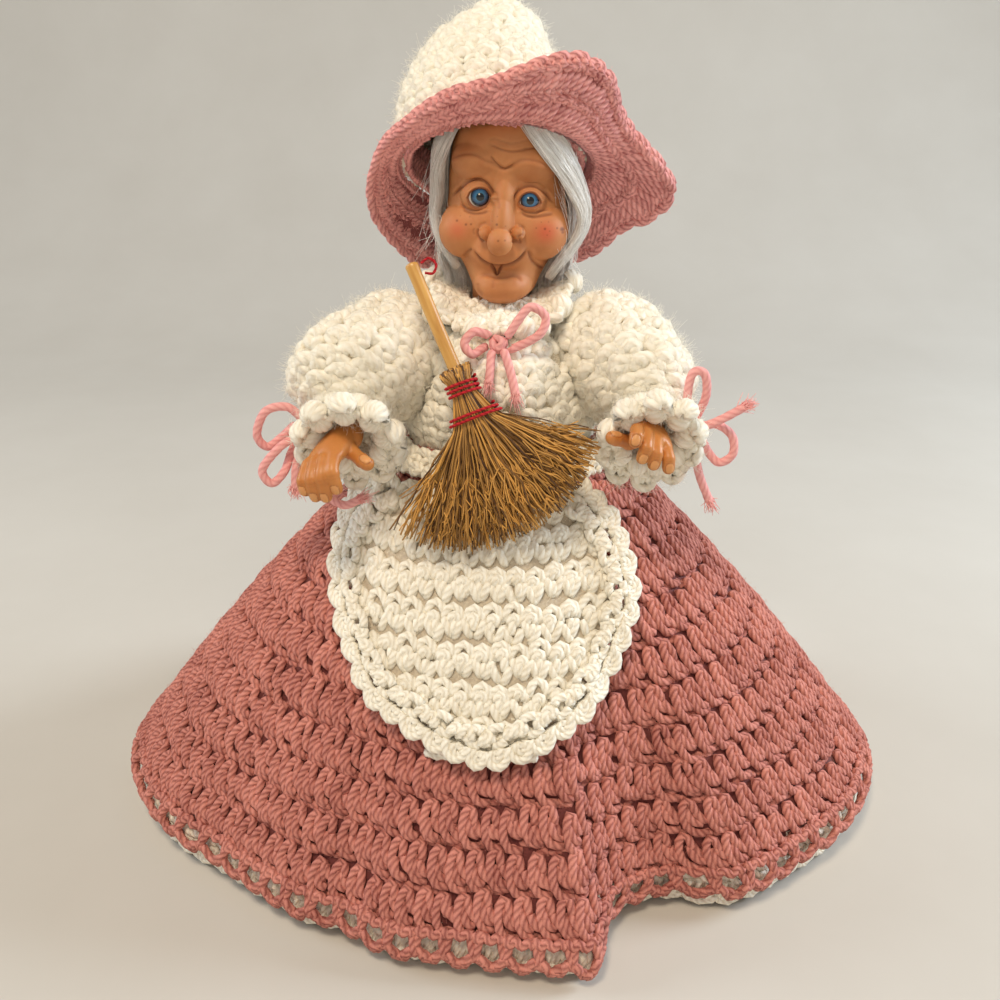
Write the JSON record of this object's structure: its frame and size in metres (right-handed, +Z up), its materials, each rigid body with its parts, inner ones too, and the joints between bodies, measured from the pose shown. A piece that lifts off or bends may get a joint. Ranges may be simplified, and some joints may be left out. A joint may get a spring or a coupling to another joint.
{
  "type": "kitchen witch doll",
  "caption": "Standing kitchen witch doll in a crocheted gown and brimmed hat, with a vinyl head and hands and a small twig broom.",
  "frame": {"origin": "centre of the foam cone's flat base, on the surface that the doll stands on", "axes": "+Z up through the doll, the doll faces -Y, its left side is +X"},
  "size_m": [0.29, 0.2311, 0.2797],
  "materials": {
    "broom_wood": "satin",
    "chenille": "chenille stem",
    "cream_yarn": "fuzzy crochet",
    "dowel_wood": "bare",
    "eye": "glossy",
    "face_vinyl": "soft vinyl",
    "foam": "white foam",
    "hair": "straight mohair",
    "hand_vinyl": "soft vinyl",
    "pink_yarn": "crochet",
    "red_thread": "thread",
    "stuffing": "polyester fibre",
    "twigs": "dry twigs",
    "white_yarn": "crochet"
  },
  "bodies": {
    "torso": {"foam_cone": "foam", "neck_dowel": "dowel_wood", "shoulder_wire": "chenille", "petticoat": "white_yarn", "skirt": "pink_yarn", "apron": "white_yarn", "apron_waistband": "white_yarn", "torso_stuffing": "stuffing", "bodice": "cream_yarn", "collar_ruffle": "cream_yarn", "neck_bow_knot": "pink_yarn", "neck_bow_loop_left": "pink_yarn", "neck_bow_loop_right": "pink_yarn", "neck_bow_tail_left": "pink_yarn", "neck_bow_tail_right": "pink_yarn"},
    "head": {"head": "face_vinyl", "left_eye": "eye", "right_eye": "eye", "hair_back": "hair", "left_hair_lock": "hair", "right_hair_lock": "hair"},
    "hat": {"hat_crown": "cream_yarn", "hat_brim": "pink_yarn"},
    "left_arm": {"left_arm_wire": "chenille", "left_sleeve": "cream_yarn", "left_cuff": "cream_yarn", "left_bow_knot": "pink_yarn", "left_bow_loop_upper": "pink_yarn", "left_bow_loop_lower": "pink_yarn", "left_bow_tail_upper": "pink_yarn", "left_bow_tail_lower": "pink_yarn"},
    "right_arm": {"right_arm_wire": "chenille", "right_sleeve": "cream_yarn", "right_cuff": "cream_yarn", "right_bow_knot": "pink_yarn", "right_bow_loop_upper": "pink_yarn", "right_bow_loop_lower": "pink_yarn", "right_bow_tail_outer": "pink_yarn", "right_bow_tail_inner": "pink_yarn"},
    "left_hand": {"left_hand": "hand_vinyl"},
    "right_hand": {"right_hand": "hand_vinyl"},
    "broom": {"broom_handle": "broom_wood", "broom_bristles": "twigs", "broom_binding_upper": "red_thread", "broom_binding_lower": "red_thread", "broom_hang_loop": "red_thread"}
  },
  "joints": [
    {"name": "head_turn", "type": "hinge", "parent": "torso", "child": "head", "pos_m": [0, 0, 0.19], "axis": [0, 0, 1], "range_deg": [-20, 20]},
    {"name": "hat_lift", "type": "slide", "parent": "head", "child": "hat", "axis": [0, 0.5, 0.866], "range_m": [0, 0.06]},
    {"name": "left_arm_raise", "type": "hinge", "parent": "torso", "child": "left_arm", "pos_m": [0.036, -0.01, 0.17], "axis": [-1, 0, 0], "range_deg": [-8, 45]},
    {"name": "right_arm_raise", "type": "hinge", "parent": "torso", "child": "right_arm", "pos_m": [-0.036, -0.01, 0.17], "axis": [-1, 0, 0], "range_deg": [-8, 45]},
    {"name": "left_hand_turn", "type": "hinge", "parent": "left_arm", "child": "left_hand", "pos_m": [0.047, -0.0363, 0.1547], "axis": [0, -0.9336, -0.3584], "range_deg": [-10, 27]},
    {"name": "right_hand_turn", "type": "hinge", "parent": "right_arm", "child": "right_hand", "pos_m": [-0.047, -0.0363, 0.1547], "axis": [0, -0.9336, -0.3584], "range_deg": [-30, 30]},
    {"name": "broom_lift_off", "type": "slide", "parent": "torso", "child": "broom", "axis": [0, -1, 0], "range_m": [0, 0.06]}
  ]
}
